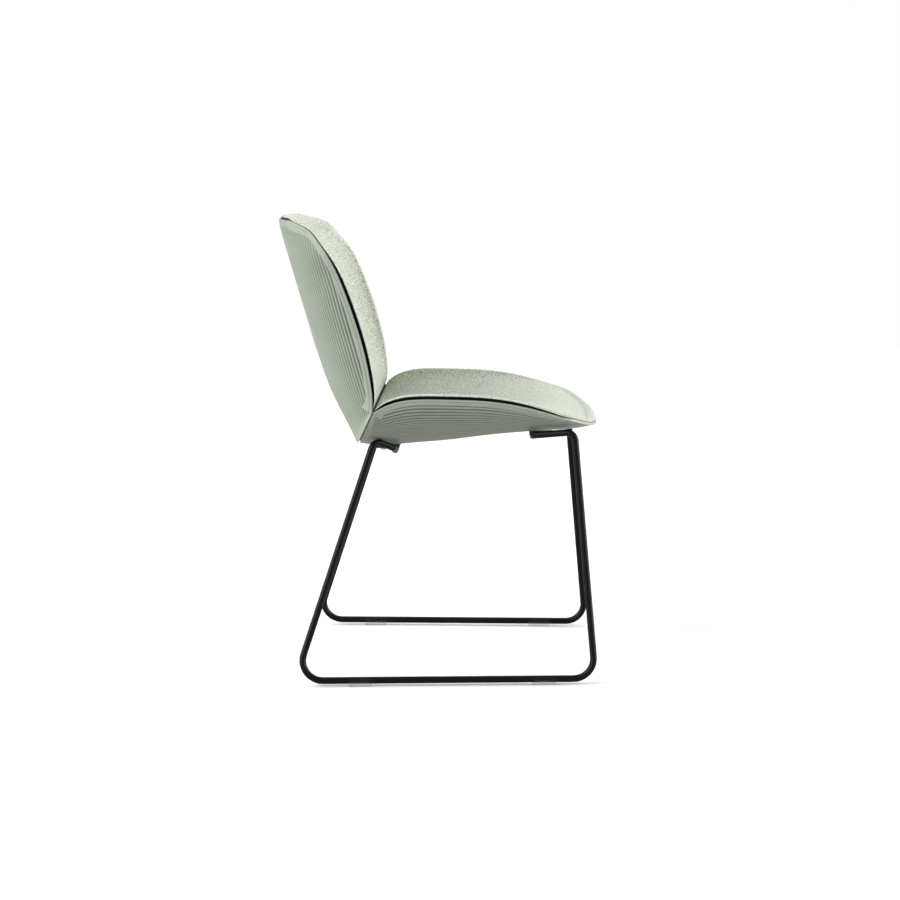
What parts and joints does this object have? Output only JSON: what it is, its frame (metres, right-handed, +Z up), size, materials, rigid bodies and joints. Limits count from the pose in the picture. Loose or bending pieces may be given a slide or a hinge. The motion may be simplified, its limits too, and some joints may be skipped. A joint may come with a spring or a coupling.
{
  "type": "sled base visitor chair",
  "caption": "Armless visitor chair with a ribbed bucket shell, felt pads and a bent round-rod sled frame on clear glides.",
  "frame": {"origin": "on the floor, under the middle of the chair's length and width", "axes": "+Z up, +X the way the sitter faces, +Y to the sitter's left"},
  "size_m": [0.5683, 0.5184, 0.806],
  "materials": {
    "shell_green": "fine matt grain, sage green, moulded ribs outside",
    "felt_sage": "light sage melange wool felt",
    "foam": "cut upholstery foam",
    "panel_plastic": "black moulded panel",
    "frame_black": "black powder coat, fine matt",
    "glide_clear": "clear polycarbonate",
    "zinc_steel": "zinc plated",
    "insert_brass": "turned"
  },
  "bodies": {
    "root": {"seat_shell": "shell_green", "back_shell": "shell_green", "seat_carrier": "panel_plastic", "back_carrier": "panel_plastic", "seat_foam": "foam", "back_foam": "foam", "seat_cover": "felt_sage", "back_cover": "felt_sage", "frame_rod_right": "frame_black", "frame_rod_left": "frame_black", "mount_tab_rear_right": "frame_black", "mount_tab_rear_left": "frame_black", "mount_tab_front_right": "frame_black", "mount_tab_front_left": "frame_black", "mount_screws": "zinc_steel", "mount_washers": "zinc_steel", "mount_inserts": "insert_brass", "seat_carrier_screws": "zinc_steel", "back_carrier_screws": "zinc_steel", "joint_bolts": "zinc_steel", "joint_nuts": "zinc_steel", "glide_rear_right": "glide_clear", "glide_rear_left": "glide_clear", "glide_front_right": "glide_clear", "glide_front_left": "glide_clear"}
  },
  "joints": []
}
